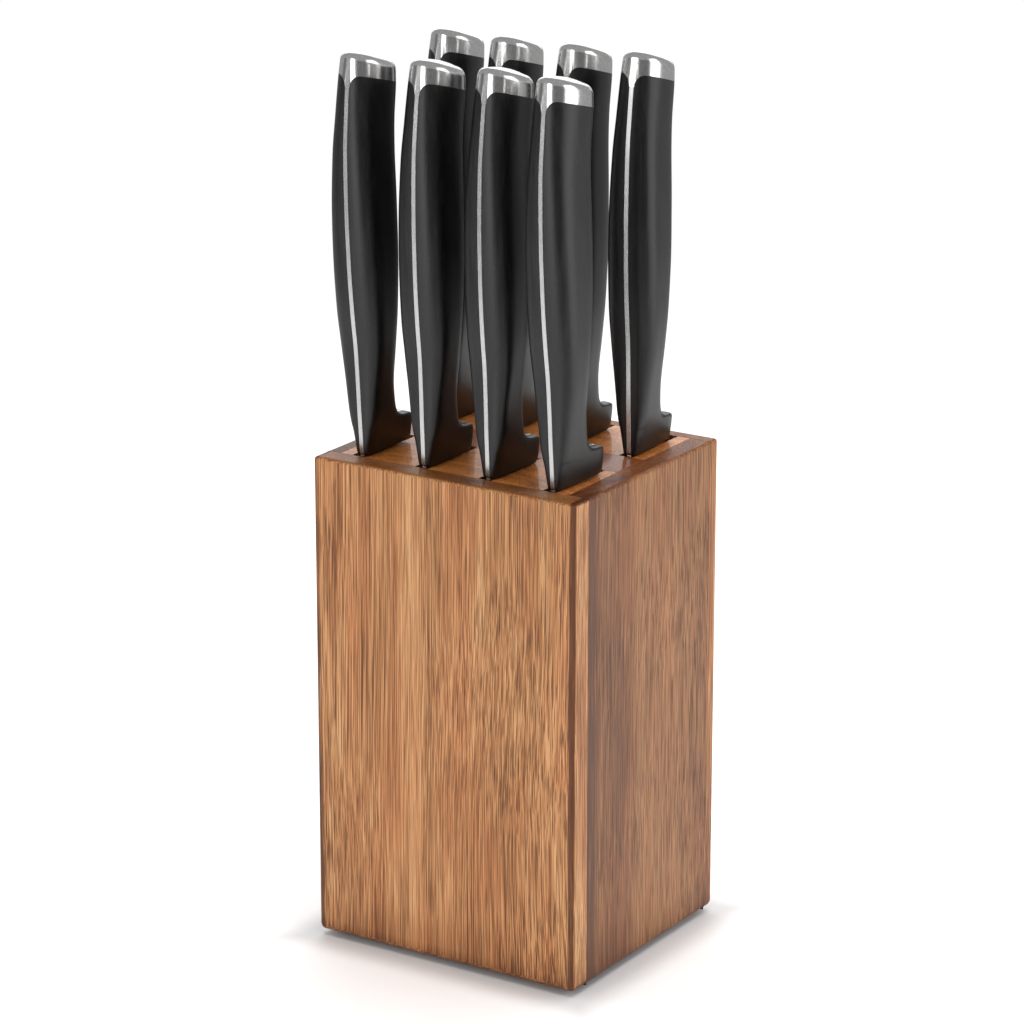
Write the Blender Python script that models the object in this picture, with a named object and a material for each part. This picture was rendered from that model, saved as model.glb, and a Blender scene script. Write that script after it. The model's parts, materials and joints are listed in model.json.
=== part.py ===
"""Upright wooden knife block holding eight steak knives in two rows of four.

Metres, +Z up. The origin is the centre of the block's footprint, on the surface that its feet stand on;
+X runs right along the front board and +Y runs from the front board to the back board.
"""

import math

import bmesh
import bpy
from mathutils import Euler, Vector

MM = 0.001
GAP = 0.3 * MM  # clearance between pieces that touch
SHARP_ANGLE = math.radians(35)  # edges sharper than this stay sharp in the shading
FLAT_ANGLE = math.radians(0.5)  # faces this close to flat are joined

# The wooden block.
BLOCK_WIDTH = 90 * MM
BLOCK_DEPTH = 80 * MM
BOARD_HEIGHT = 149 * MM
FRONT_THICKNESS = 7.1 * MM
BACK_THICKNESS = 4.6 * MM
LEFT_THICKNESS = 4.6 * MM
RIGHT_THICKNESS = 6.7 * MM
BOTTOM_THICKNESS = 10 * MM
OUTER_EDGE_RADIUS = 0.8 * MM
FOOT_RADIUS = 6 * MM
FOOT_HEIGHT = 1.2 * MM
FOOT_INSET = 10 * MM  # from the block's side to a foot's centre
FOOT_TAPER = 0.4 * MM
FOOT_SIDES = 20

# The slots: four in each row, one knife in each.
COLUMNS = 4
SLOT_WIDTH = 4.4 * MM
SLOT_PITCH = 21.9 * MM
SLOT_LENGTH = 26.7 * MM
SPINE_CLEARANCE = 0.4 * MM  # from a slot's front wall to the knife's spine

# The knife, in its own frame: z up its length from the handle's lower end, y from spine to belly,
# x across its thickness.
HANDLE_LENGTH = 120 * MM
TANG_HALF = 0.8 * MM
SECTION_POWER = 3.4  # a handle section is a superellipse of this power
SECTION_STEPS = 10  # faces round one scale's outer side
BUTT_SLOPE = math.tan(math.radians(21))  # the butt falls towards the belly at this slope
SLOPE_START = 60 * MM  # sections are level below this height
CAP_FILLET_DEPTH = 3.7 * MM  # how far the cap runs down beside the tang
CAP_FILLET_WIDTH = 3.4 * MM
CAP_RISE = 1.0 * MM  # the butt is slightly domed
CAP_END_RISE = 0.6  # share of the rise beside the spine and the belly
PEG_RADIUS = 2.0 * MM
PEG_HEIGHTS = (34 * MM, 84 * MM)
PEG_REACH = 3.2 * MM  # how far a peg enters the left scale
PEG_SIDES = 10

# Handle sections from the lower end to the butt, in mm: height at the spine, spine, belly, half thickness.
HANDLE_ROWS = (
    (0.0, 0.4, 22.4, 2.0),
    (1.0, 0.0, 23.0, 2.6),
    (4.0, -0.1, 23.0, 3.5),
    (7.2, -0.3, 22.9, 4.1),
    (8.2, -0.4, 22.0, 4.25),
    (9.2, -0.45, 17.5, 4.3),
    (10.5, -0.5, 14.8, 4.4),
    (14.0, -0.7, 12.9, 4.75),
    (22.0, -0.9, 11.6, 5.8),
    (32.0, -1.4, 12.0, 7.0),
    (44.0, -2.6, 13.0, 7.75),
    (58.0, -3.5, 14.0, 7.9),
    (74.0, -3.9, 14.5, 7.6),
    (90.0, -3.6, 15.1, 7.1),
    (102.0, -2.5, 16.4, 6.7),
    (113.6, -1.0, 18.5, 6.5),
    (118.0, -0.3, 19.1, 6.3),
    (120.0, 0.8, 18.4, 5.2),
)
CAP_ROW = 15  # the cap starts at this row

# Blade sections from the tip to the handle, in mm: height, spine, edge, half thickness at the spine.
BLADE_ROWS = (
    (-120.0, 5.2, 6.0, 0.3),
    (-118.0, 4.0, 8.2, 0.4),
    (-112.0, 2.6, 12.0, 0.5),
    (-102.0, 1.4, 15.4, 0.6),
    (-88.0, 0.6, 17.7, 0.7),
    (-70.0, 0.3, 18.5, 0.8),
    (-40.0, 0.3, 18.5, 0.8),
    (-6.0, 0.3, 18.5, 0.8),
    (-3.5, 0.3, 17.0, 0.8),
    (-1.0, 0.3, 16.8, 0.8),
)
EDGE_HALF = 0.15 * MM
EDGE_START = 0.55  # the blade thins from this share of its width

# How each knife stands in its slot, row by row from the front left: the spine's offset from the slot's
# centre line in mm, then its lean to the right, its lean to the front and its turn, in degrees.
KNIFE_STANCES = (
    (0.9, 0.0, 2.0, 0.1),
    (0.6, 0.6, 1.2, 0.4),
    (0.8, 0.5, 0.8, -1.9),
    (0.8, 0.0, 1.9, -1.8),
    (1.0, 0.9, 1.0, 0.2),
    (0.9, 0.6, 1.2, 2.0),
    (1.0, 0.8, 0.6, 0.6),
    (0.9, 0.8, 0.7, 4.3),
)

# Places worked out from the dimensions above.
BLOCK_LEFT, BLOCK_RIGHT = -BLOCK_WIDTH / 2, BLOCK_WIDTH / 2
BLOCK_FRONT, BLOCK_BACK = -BLOCK_DEPTH / 2, BLOCK_DEPTH / 2
BOARD_BOTTOM = FOOT_HEIGHT + GAP
BOARD_TOP = BOARD_BOTTOM + BOARD_HEIGHT
CORE_LEFT = BLOCK_LEFT + LEFT_THICKNESS
CORE_RIGHT = BLOCK_RIGHT - RIGHT_THICKNESS
CORE_FRONT = BLOCK_FRONT + FRONT_THICKNESS
CORE_BACK = BLOCK_BACK - BACK_THICKNESS
CORE_BOTTOM = BOARD_BOTTOM + BOTTOM_THICKNESS
CORE_CENTRE = (CORE_LEFT + CORE_RIGHT) / 2
SLOT_FRONTS = {"front": CORE_FRONT, "back": CORE_BACK - SLOT_LENGTH}
SLOT_CENTRES = [CORE_CENTRE + (i - (COLUMNS - 1) / 2) * SLOT_PITCH for i in range(COLUMNS)]

MATERIALS = {
    # name: base colour, roughness, metallic
    "acacia_front": ((0.50, 0.27, 0.12), 0.45, 0.0),
    "acacia_side": ((0.38, 0.21, 0.12), 0.45, 0.0),
    "acacia_core": ((0.58, 0.34, 0.15), 0.35, 0.0),
    "brushed_steel": ((0.72, 0.72, 0.72), 0.28, 1.0),
    "black_plastic": ((0.018, 0.018, 0.019), 0.42, 0.0),
    "black_rubber": ((0.03, 0.03, 0.03), 0.8, 0.0),
}


def clear_scene():
    for obj in list(bpy.data.objects):
        bpy.data.objects.remove(obj, do_unlink=True)


def make_materials():
    for name, (color, roughness, metallic) in MATERIALS.items():
        material = bpy.data.materials.new(name)
        material.use_nodes = True
        shader = material.node_tree.nodes["Principled BSDF"]
        shader.inputs["Base Color"].default_value = (*color, 1.0)
        shader.inputs["Roughness"].default_value = roughness
        shader.inputs["Metallic"].default_value = metallic


def mesh_from(bm, name, material, smooth=True):
    """Turns a closed bmesh into a mesh with outward faces and one material."""
    bmesh.ops.recalc_face_normals(bm, faces=bm.faces)
    mesh = bpy.data.meshes.new(name)
    bm.to_mesh(mesh)
    bm.free()
    mesh.materials.append(bpy.data.materials[material])
    if smooth:
        mesh.shade_smooth()
        mesh.set_sharp_from_angle(angle=SHARP_ANGLE)
    return mesh


def add_object(name, mesh, parent=None, location=(0, 0, 0)):
    obj = bpy.data.objects.new(name, mesh)
    obj.location = location
    obj.parent = parent
    bpy.context.scene.collection.objects.link(obj)
    return obj


def outer_edges(bm, centre):
    """The edges that two of the block's outer faces share, on a board built about its own centre."""
    planes = (
        (0, BLOCK_LEFT), (0, BLOCK_RIGHT),
        (1, BLOCK_FRONT), (1, BLOCK_BACK),
        (2, BOARD_BOTTOM), (2, BOARD_TOP),
    )
    found = []
    for edge in bm.edges:
        ends = [vert.co + centre for vert in edge.verts]
        on = [all(math.isclose(end[axis], at, abs_tol=GAP / 10) for end in ends) for axis, at in planes]
        if sum(on) == 2:
            found.append(edge)
    return found


def add_board(name, low, high, material):
    """A board between two corners. Only the edges on the block's outside are rounded over."""
    low, high = Vector(low), Vector(high)
    centre = (low + high) / 2
    bm = bmesh.new()
    bmesh.ops.create_cube(bm, size=1.0)
    bmesh.ops.scale(bm, vec=high - low, verts=bm.verts)
    edges = outer_edges(bm, centre)
    if edges:
        bmesh.ops.bevel(bm, geom=edges, offset=OUTER_EDGE_RADIUS, segments=2, profile=0.5, affect="EDGES")
    return add_object(name, mesh_from(bm, name, material), location=centre)


def add_shell():
    """The four outer boards. The front and back boards cover the ends of the side boards."""
    side_front, side_back = CORE_FRONT + GAP, CORE_BACK - GAP
    add_board(
        "front_board",
        (BLOCK_LEFT, BLOCK_FRONT, BOARD_BOTTOM), (BLOCK_RIGHT, CORE_FRONT, BOARD_TOP), "acacia_front",
    )
    add_board(
        "back_board",
        (BLOCK_LEFT, CORE_BACK, BOARD_BOTTOM), (BLOCK_RIGHT, BLOCK_BACK, BOARD_TOP), "acacia_front",
    )
    add_board(
        "left_board",
        (BLOCK_LEFT, side_front, BOARD_BOTTOM), (CORE_LEFT, side_back, BOARD_TOP), "acacia_side",
    )
    add_board(
        "right_board",
        (CORE_RIGHT, side_front, BOARD_BOTTOM), (BLOCK_RIGHT, side_back, BOARD_TOP), "acacia_side",
    )
    add_board(
        "bottom_board",
        (CORE_LEFT + GAP, side_front, BOARD_BOTTOM), (CORE_RIGHT - GAP, side_back, CORE_BOTTOM), "acacia_core",
    )


def add_core():
    """The centre board, and in each row the spacers whose gaps are the slots."""
    low_z = CORE_BOTTOM + GAP
    middle_front = SLOT_FRONTS["front"] + SLOT_LENGTH
    middle_back = SLOT_FRONTS["back"]
    add_board(
        "centre_board",
        (CORE_LEFT + GAP, middle_front, low_z), (CORE_RIGHT - GAP, middle_back, BOARD_TOP), "acacia_core",
    )
    spans = {"front": (CORE_FRONT + GAP, middle_front - GAP), "back": (middle_back + GAP, CORE_BACK - GAP)}
    lefts = [CORE_LEFT + GAP] + [centre + SLOT_WIDTH / 2 for centre in SLOT_CENTRES]
    rights = [centre - SLOT_WIDTH / 2 for centre in SLOT_CENTRES] + [CORE_RIGHT - GAP]
    for row, (front, back) in spans.items():
        for i, (left, right) in enumerate(zip(lefts, rights), start=1):
            add_board(f"{row}_spacer_{i}", (left, front, low_z), (right, back, BOARD_TOP), "acacia_core")


def add_feet():
    """Four round rubber pads, slightly narrower at the floor."""
    bm = bmesh.new()
    bmesh.ops.create_cone(
        bm, cap_ends=True, segments=FOOT_SIDES, depth=FOOT_HEIGHT,
        radius1=FOOT_RADIUS - FOOT_TAPER, radius2=FOOT_RADIUS,
    )
    mesh = mesh_from(bm, "foot", "black_rubber")
    x, y = BLOCK_RIGHT - FOOT_INSET, BLOCK_BACK - FOOT_INSET
    places = {"front_left": (-x, -y), "front_right": (x, -y), "back_left": (-x, y), "back_right": (x, y)}
    for corner, (foot_x, foot_y) in places.items():
        add_object(f"foot_{corner}", mesh, location=(foot_x, foot_y, FOOT_HEIGHT / 2))


def section_drop(height):
    """How steeply a handle section at this height falls from the spine to the belly."""
    share = min(max((height - SLOPE_START) / (HANDLE_LENGTH - SLOPE_START), 0.0), 1.0)
    return BUTT_SLOPE * share * share * (3 - 2 * share)


def spine_and_belly(height):
    """The handle's spine and belly at any height, between the rows above and below it."""
    for low, high in zip(HANDLE_ROWS, HANDLE_ROWS[1:]):
        if low[0] * MM <= height <= high[0] * MM:
            share = (height / MM - low[0]) / (high[0] - low[0])
            return [(low[i] + (high[i] - low[i]) * share) * MM for i in (1, 2)]
    raise ValueError("height is outside the handle")


def half_section(row, inner=0.0):
    """Points round the right half of a handle section from spine to belly, no nearer the middle than inner."""
    height, spine, belly, half = (value * MM for value in row)
    middle, reach = (spine + belly) / 2, (belly - spine) / 2
    power = 2 / SECTION_POWER
    points = []
    for i in range(SECTION_STEPS + 1):
        angle = math.pi * (i / SECTION_STEPS - 0.5)
        x = max(half * max(math.cos(angle), 0.0) ** power, inner)
        y = middle + reach * math.copysign(abs(math.sin(angle)) ** power, angle)
        points.append(Vector((x, y, height - section_drop(height) * (y - spine))))
    return points


def fillet_drop(x):
    """How far the seam between cap and scale dips at this distance from the middle, beside the tang."""
    share = min(max((x - TANG_HALF) / CAP_FILLET_WIDTH, 0.0), 1.0)
    return CAP_FILLET_DEPTH * (1 - math.sqrt(1 - (1 - share) ** 2))


def seam_section(inner, lift):
    """The half section where scale meets cap, dipping beside the tang."""
    points = half_section(HANDLE_ROWS[CAP_ROW], inner)
    for point in points:
        point.z += lift - fillet_drop(point.x)
    return points


def add_strip(bm, first, second):
    """Faces between two equally long rows of vertices."""
    for i in range(len(first) - 1):
        bm.faces.new((first[i], first[i + 1], second[i + 1], second[i]))


def scale_bmesh():
    """One handle scale on the right of the tang: its outer surface, flat inner face and two ends."""
    inner = TANG_HALF + GAP
    rings = [half_section(row, inner) for row in HANDLE_ROWS[:CAP_ROW]]
    rings.append(seam_section(inner, -GAP))
    bm = bmesh.new()
    outer = [[bm.verts.new(point) for point in ring] for ring in rings]
    flat = [[bm.verts.new((inner, point.y, point.z)) for point in ring[1:-1]] for ring in rings]
    flat = [[ring[0], *between, ring[-1]] for ring, between in zip(outer, flat)]
    for i in range(len(rings) - 1):
        add_strip(bm, outer[i], outer[i + 1])
        add_strip(bm, flat[i], flat[i + 1])
    for ring, inside in ((outer[0], flat[0]), (outer[-1], flat[-1])):
        for i in range(1, SECTION_STEPS - 1):
            bm.faces.new((ring[i], ring[i + 1], inside[i + 1], inside[i]))
        bm.faces.new((ring[0], ring[1], inside[1]))
        bm.faces.new((ring[-1], ring[-2], inside[-2]))
    bmesh.ops.dissolve_limit(bm, angle_limit=FLAT_ANGLE, verts=bm.verts, edges=bm.edges)
    return bm


def mirrored(mesh, name):
    """A copy of a scale's mesh for the left side of the tang."""
    bm = bmesh.new()
    bm.from_mesh(mesh)
    bmesh.ops.scale(bm, vec=(-1, 1, 1), verts=bm.verts)
    bmesh.ops.reverse_faces(bm, faces=bm.faces)
    return mesh_from(bm, name, "black_plastic")


def cap_mesh():
    """The steel butt cap: a domed end whose underside reaches down beside the tang at spine and belly."""
    rings = [seam_section(0.0, 0.0)]
    rings += [half_section(row) for row in HANDLE_ROWS[CAP_ROW + 1:]]
    bm = bmesh.new()
    right = [[bm.verts.new(point) for point in ring] for ring in rings]
    left = []
    for ring, verts in zip(rings, right):
        between = [bm.verts.new((-point.x, point.y, point.z)) for point in ring[1:-1]]
        left.append([verts[0], *between, verts[-1]])
    top, top_left = right[-1], left[-1]
    crown = [bm.verts.new(((a.co + b.co) / 2) + Vector((0, 0, CAP_RISE))) for a, b in zip(top, top_left)]
    crown[0], crown[-1] = top[0], top[-1]
    for vert in (crown[1], crown[-2]):
        vert.co.z -= CAP_RISE * (1 - CAP_END_RISE)
    for side in (top, top_left):
        for i in range(1, SECTION_STEPS - 1):
            bm.faces.new((side[i], side[i + 1], crown[i + 1], crown[i]))
        bm.faces.new((side[0], side[1], crown[1]))
        bm.faces.new((side[-1], side[-2], crown[-2]))
    under, under_left = right[0], left[0]
    for i in range(1, SECTION_STEPS - 1):
        bm.faces.new((under[i], under[i + 1], under_left[i + 1], under_left[i]))
    bm.faces.new((under[0], under[1], under_left[1]))
    bm.faces.new((under[-1], under[-2], under_left[-2]))
    for i in range(len(rings) - 1):
        add_strip(bm, right[i], right[i + 1])
        add_strip(bm, left[i], left[i + 1])
    return mesh_from(bm, "butt_cap", "brushed_steel")


def plate_ring(spine, belly, spine_half, edge_half, height, slope=0.0):
    """Six points round a level slice of the blade or tang."""
    shoulder = spine + (belly - spine) * EDGE_START
    ys = (spine, shoulder, belly)
    halves = (spine_half, spine_half, edge_half)
    right = [Vector((half, y, height - slope * (y - spine))) for y, half in zip(ys, halves)]
    left = [Vector((-point.x, point.y, point.z)) for point in reversed(right)]
    return right + left


def tang_rings():
    """Slices of the tang, flush with the handle's spine and belly, up to just under the cap."""
    rings = []
    for height, spine, belly in [row[:3] for row in HANDLE_ROWS[:CAP_ROW]]:
        height *= MM
        rings.append(plate_ring(spine * MM, belly * MM, TANG_HALF, TANG_HALF, height, section_drop(height)))
    seam = HANDLE_ROWS[CAP_ROW][0] * MM
    under_cap = seam - CAP_FILLET_DEPTH - GAP
    rings.append(plate_ring(*spine_and_belly(under_cap), TANG_HALF, TANG_HALF, under_cap, section_drop(seam)))
    return rings


def blade_bmesh():
    """Blade and full tang, stamped from one plate."""
    rings = []
    for height, spine, edge, half in BLADE_ROWS:
        rings.append(plate_ring(spine * MM, edge * MM, half * MM, EDGE_HALF, height * MM))
    rings += tang_rings()
    bm = bmesh.new()
    verts = [[bm.verts.new(point) for point in ring] for ring in rings]
    for lower, upper in zip(verts, verts[1:]):
        add_strip(bm, lower + lower[:1], upper + upper[:1])
    for ring in (verts[0], verts[-1]):
        bm.faces.new(ring)
    bmesh.ops.dissolve_limit(bm, angle_limit=FLAT_ANGLE, verts=bm.verts, edges=bm.edges)
    return bm


def peg_object(name, radius, low_x, high_x):
    """Two round bars across the handle, used to add the pegs and to cut their holes."""
    bm = bmesh.new()
    for height in PEG_HEIGHTS:
        middle = sum(spine_and_belly(height)) / 2
        made = bmesh.ops.create_cone(
            bm, cap_ends=True, segments=PEG_SIDES, radius1=radius, radius2=radius, depth=high_x - low_x,
        )
        turn = Euler((0, math.pi / 2, 0)).to_matrix()
        bmesh.ops.rotate(bm, verts=made["verts"], cent=(0, 0, 0), matrix=turn)
        centre = Vector(((low_x + high_x) / 2, middle, height))
        bmesh.ops.translate(bm, verts=made["verts"], vec=centre)
    obj = add_object(name, mesh_from(bm, name, "black_plastic"))
    obj.hide_render = True
    obj.display_type = "WIRE"
    return obj


def combined(mesh, tool, operation):
    """The mesh after one Boolean with the tool object."""
    obj = add_object("work", mesh)
    boolean = obj.modifiers.new("pegs", "BOOLEAN")
    boolean.object = tool
    boolean.operation = operation
    graph = bpy.context.evaluated_depsgraph_get()
    result = bpy.data.meshes.new_from_object(obj.evaluated_get(graph), depsgraph=graph)
    result.name = mesh.name
    bpy.data.objects.remove(obj, do_unlink=True)
    result.shade_smooth()
    result.set_sharp_from_angle(angle=SHARP_ANGLE)
    return result


def knife_meshes():
    """The four meshes that every knife shares. The right scale's pegs pass through the tang into the left."""
    inner = TANG_HALF + GAP
    peg_end = -(inner + PEG_REACH)
    pegs = peg_object("guide_pegs", PEG_RADIUS, peg_end, inner + PEG_REACH / 2)
    holes = peg_object("guide_holes", PEG_RADIUS + GAP, peg_end - GAP, inner - GAP / 2)
    right = mesh_from(scale_bmesh(), "scale", "black_plastic")
    left = mirrored(right, "scale_left")
    blade = mesh_from(blade_bmesh(), "blade", "brushed_steel")
    return {
        "blade": combined(blade, holes, "DIFFERENCE"),
        "butt_cap": cap_mesh(),
        "scale_left": combined(left, holes, "DIFFERENCE"),
        "scale_right": combined(right, pegs, "UNION"),
    }


def add_knives():
    """Eight knives. Each hangs from an empty at its slot's mouth, whose z is the way the knife pulls out."""
    meshes = knife_meshes()
    places = [(x, front) for front in SLOT_FRONTS.values() for x in SLOT_CENTRES]
    for number, ((x, front), stance) in enumerate(zip(places, KNIFE_STANCES), start=1):
        offset, lean_right, lean_front, turn = stance
        axis = add_object(f"knife_{number}_axis", None)
        axis.location = (x + offset * MM, front + SPINE_CLEARANCE, BOARD_TOP + GAP)
        axis.rotation_mode = "ZXY"
        axis.rotation_euler = [math.radians(angle) for angle in (lean_front, lean_right, turn)]
        for piece, mesh in meshes.items():
            add_object(f"{piece}_{number}", mesh, parent=axis)


def main():
    clear_scene()
    make_materials()
    add_shell()
    add_core()
    add_feet()
    add_knives()


main()
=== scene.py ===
"""Looks for an upright acacia knife block with eight steak knives.

Metres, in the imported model's frame: +Z up, +X right along the front board, +Y from the front board to the
back. Handle and blade outlines are in millimetres, in each knife's own frame.
"""

import json
import math

import bmesh
import bpy
from mathutils import Euler, Matrix, Vector


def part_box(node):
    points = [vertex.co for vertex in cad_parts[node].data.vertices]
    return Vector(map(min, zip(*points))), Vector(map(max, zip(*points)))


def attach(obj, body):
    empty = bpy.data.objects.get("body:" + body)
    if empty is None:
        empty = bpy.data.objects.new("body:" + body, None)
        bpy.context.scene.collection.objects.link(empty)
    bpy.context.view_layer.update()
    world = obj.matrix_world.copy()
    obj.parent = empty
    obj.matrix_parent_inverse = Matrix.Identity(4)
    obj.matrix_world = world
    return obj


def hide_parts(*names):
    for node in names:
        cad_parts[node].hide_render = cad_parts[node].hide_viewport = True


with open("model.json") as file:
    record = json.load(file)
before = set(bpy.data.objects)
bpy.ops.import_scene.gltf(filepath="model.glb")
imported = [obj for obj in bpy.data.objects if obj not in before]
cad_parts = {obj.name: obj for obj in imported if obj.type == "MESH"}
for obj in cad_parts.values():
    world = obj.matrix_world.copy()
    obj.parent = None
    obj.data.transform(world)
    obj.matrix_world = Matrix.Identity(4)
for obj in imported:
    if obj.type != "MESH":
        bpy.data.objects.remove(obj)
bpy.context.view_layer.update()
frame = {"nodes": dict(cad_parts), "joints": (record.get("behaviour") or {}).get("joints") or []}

MM = 0.001
TO_MM = 1000.0

# ---------------------------------------------------------------- camera
CAMERA_TARGET = Vector((-0.0013, -0.0008, 0.1305))
CAMERA_DISTANCE = 1.2504
CAMERA_AZIMUTH = math.radians(32.63)
CAMERA_ELEVATION = math.radians(17.30)
CAMERA_LENS = 148.96


def add_camera():
    data = bpy.data.cameras.new("camera")
    data.lens = CAMERA_LENS
    camera = bpy.data.objects.new("camera", data)
    camera.rotation_euler = (math.pi / 2 - CAMERA_ELEVATION, 0, CAMERA_AZIMUTH)
    ahead = camera.rotation_euler.to_matrix() @ Vector((0, 0, -1))
    camera.location = CAMERA_TARGET - ahead * CAMERA_DISTANCE
    bpy.context.scene.collection.objects.link(camera)
    bpy.context.scene.camera = camera


# ---------------------------------------------------------------- node helpers
def node(tree, kind, inputs=None, **settings):
    """Adds a shader node. Inputs are values or the sockets that feed them."""
    made = tree.nodes.new("ShaderNode" + kind)
    for key, value in settings.items():
        setattr(made, key, value)
    for key, value in (inputs or {}).items():
        if isinstance(value, bpy.types.NodeSocket):
            tree.links.new(value, made.inputs[key])
        else:
            made.inputs[key].default_value = value
    return made


def maths(tree, operation, first, second=0.0):
    return node(tree, "Math", {0: first, 1: second}, operation=operation).outputs[0]


def scaled(tree, value, gain, offset):
    """Value times gain, plus offset. Value and offset may be sockets."""
    inputs = {0: value, 1: gain, 2: offset}
    return node(tree, "Math", inputs, operation="MULTIPLY_ADD").outputs[0]


def spread(tree, value, amount):
    """A noise value, moved to lie round zero and scaled."""
    return scaled(tree, value, amount, -amount / 2)


def ramp(tree, value, stops):
    """A colour ramp through (position, colour or grey level)."""
    made = node(tree, "ValToRGB", {"Fac": value})
    elements = made.color_ramp.elements
    for element, (position, tone) in zip(elements, (stops[0], stops[-1])):
        element.position = position
    for position, tone in stops[1:-1]:
        elements.new(position)
    for element, (position, tone) in zip(elements, stops):
        element.color = (*tone, 1.0) if isinstance(tone, tuple) else (tone, tone, tone, 1.0)
    return made.outputs["Color"]


def along(tree, value, rows, column):
    """The number in a column of rows, looked up by the place in their first column."""
    start, end = rows[0][0], rows[-1][0]
    share = node(tree, "MapRange", {"Value": value, "From Min": start, "From Max": end}).outputs["Result"]
    return ramp(tree, share, [((row[0] - start) / (end - start), row[column]) for row in rows])


def blend(tree, factor, first, second, mode="MIX"):
    """Mixes two colours. Colours are tuples or sockets."""
    made = node(tree, "Mix", data_type="RGBA", blend_type=mode)
    for index, value in ((0, factor), (6, first), (7, second)):
        if isinstance(value, bpy.types.NodeSocket):
            tree.links.new(value, made.inputs[index])
        else:
            made.inputs[index].default_value = (*value, 1.0) if isinstance(value, tuple) else value
    return made.outputs[2]


def stretched_noise(tree, place, scale, detail, rough=0.5):
    """Noise whose features per millimetre are given for each axis."""
    vector = node(tree, "VectorMath", {0: place, 1: scale}, operation="MULTIPLY").outputs[0]
    inputs = {"Vector": vector, "Scale": 1.0, "Detail": detail, "Roughness": rough}
    return node(tree, "TexNoise", inputs).outputs["Fac"]


def new_material(name, **values):
    """A material, its node tree and its Principled shader, with plain values on the shader's own sockets."""
    material = bpy.data.materials.new(name)
    material.use_nodes = True
    shader = material.node_tree.nodes["Principled BSDF"]
    for key, value in values.items():
        shader.inputs[key.replace("_", " ")].default_value = value
    return material, material.node_tree, shader


def bumped(tree, shader, height, distance, strength):
    made = node(tree, "Bump", {"Height": height, "Distance": distance, "Strength": strength})
    tree.links.new(made.outputs["Normal"], shader.inputs["Normal"])


def place_in_mm(tree, shift=(0, 0, 0)):
    """The point on the piece in millimetres, moved by shift so that the woods don't share their pattern."""
    place = node(tree, "TexCoord").outputs["Object"]
    mapping = node(tree, "Mapping", {"Vector": place, "Location": shift, "Scale": (TO_MM,) * 3})
    return mapping.outputs["Vector"]


# ---------------------------------------------------------------- wood
# Tones of the grain, from dark to light.
FRONT_TONES = ((0.14, 0.046, 0.014), (0.42, 0.170, 0.055), (0.57, 0.265, 0.101), (0.74, 0.415, 0.190))
SIDE_TONES = ((0.10, 0.036, 0.013), (0.22, 0.086, 0.031), (0.33, 0.144, 0.053), (0.45, 0.216, 0.085))
CORE_TONES = ((0.17, 0.060, 0.018), (0.38, 0.160, 0.052), (0.54, 0.260, 0.095), (0.68, 0.370, 0.145))
CENTRE_TONES = ((0.11, 0.034, 0.012), (0.26, 0.088, 0.032), (0.36, 0.140, 0.050), (0.46, 0.200, 0.080))
# What the end grain's colour is multiplied by.
FRONT_END = (0.60, 0.50, 0.38)
SIDE_END = (0.78, 0.61, 0.48)
# The core's end grain is lifted brighter than its side grain: partly its own colour, partly painted light
# that brightens the spacer tops lying in the knives' shadow.
CORE_END_AND_PAINTED_LIGHT = (1.48, 1.12, 0.68)
CENTRE_END = (0.95, 0.72, 0.46)
PORE_COLOR = (0.085, 0.032, 0.013)
RED_WASH = (1.0, 0.90, 0.86)  # multiplies the tone where the wood turns redder
TONE_STOPS = (0.05, 0.38, 0.62, 0.95)
# The wood is darker towards its lower end: (height in mm, how far the tone drops).
LOWER_END_DARKENING = ((1.5, 0.40), (6.0, 0.12), (16.0, 0.0))

# Figure of the boards: (place across the board in mm, lightness 0 to 1, amount of pores 0 to 1). The front
# board's dark rows at its left edge and beside its right edge are painted shade of its rounded corners.
FRONT_FIGURE_AND_CORNER_SHADE = (
    (-45, 0.10, 1.0), (-43.8, 0.20, 1.0), (-43, 0.60, 1.0), (-40, 0.56, 1.0), (-35, 0.48, 0.75),
    (-24, 0.52, 0.6), (-9, 0.64, 0.5), (-6, 0.45, 0.8), (10, 0.48, 0.8), (22, 0.52, 0.85), (32, 0.57, 1.0),
    (42.8, 0.54, 1.0), (43.5, 0.0, 1.0), (44.8, 0.0, 1.0), (44.95, 0.56, 0.7), (45, 0.56, 0.7),
)
BACK_FIGURE = ((-45, 0.5, 0.8), (40, 0.5, 0.8), (45, 0.42, 0.4))
SIDE_FIGURE = (
    (-33, 0.18, 0.3), (-29.5, 0.22, 0.4), (-26, 0.50, 0.9), (-20, 0.45, 0.8), (-13, 0.40, 0.5),
    (-4, 0.62, 0.9), (10, 0.56, 0.9), (22, 0.58, 1.0), (35, 0.50, 0.9),
)
EVEN_FIGURE = ((-45, 0.5, 0.6), (45, 0.5, 0.6))

# Noise in the wood, in features per millimetre along x, y and z. The grain runs along z.
WANDER = (0.018, 0.018, 0.0075)
CLOUDS = (0.11, 0.11, 0.014)
FIBRES = (3.4, 3.4, 0.018)
RED_PATCHES = (0.16, 0.16, 0.012)
FINE_PORES = (3.8, 3.8, 0.060)
BOLD_PORES = (2.7, 2.7, 0.040)
RINGS_PER_MM = 0.26
WANDER_REACH = (7.0, 7.0, 0.0)  # how far the grain strays sideways, in mm

FIGURE_GAIN = 1.5
RING_SWING = 0.6
CLOUD_SWING = 0.8
FIBRE_SWING = 2.3
PORE_DARKNESS = 0.78
WOOD_ROUGHNESS = 0.40
PORE_ROUGHNESS = 0.25  # on top of the wood's own
FIBRE_HEIGHT = 0.5  # against a pore's depth of 1
WOOD_RELIEF = 0.06 * MM
END_GRAIN_SEEN = (0.50, 0.95)  # z of a face's normal, up or down, where end grain starts and is full
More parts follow.
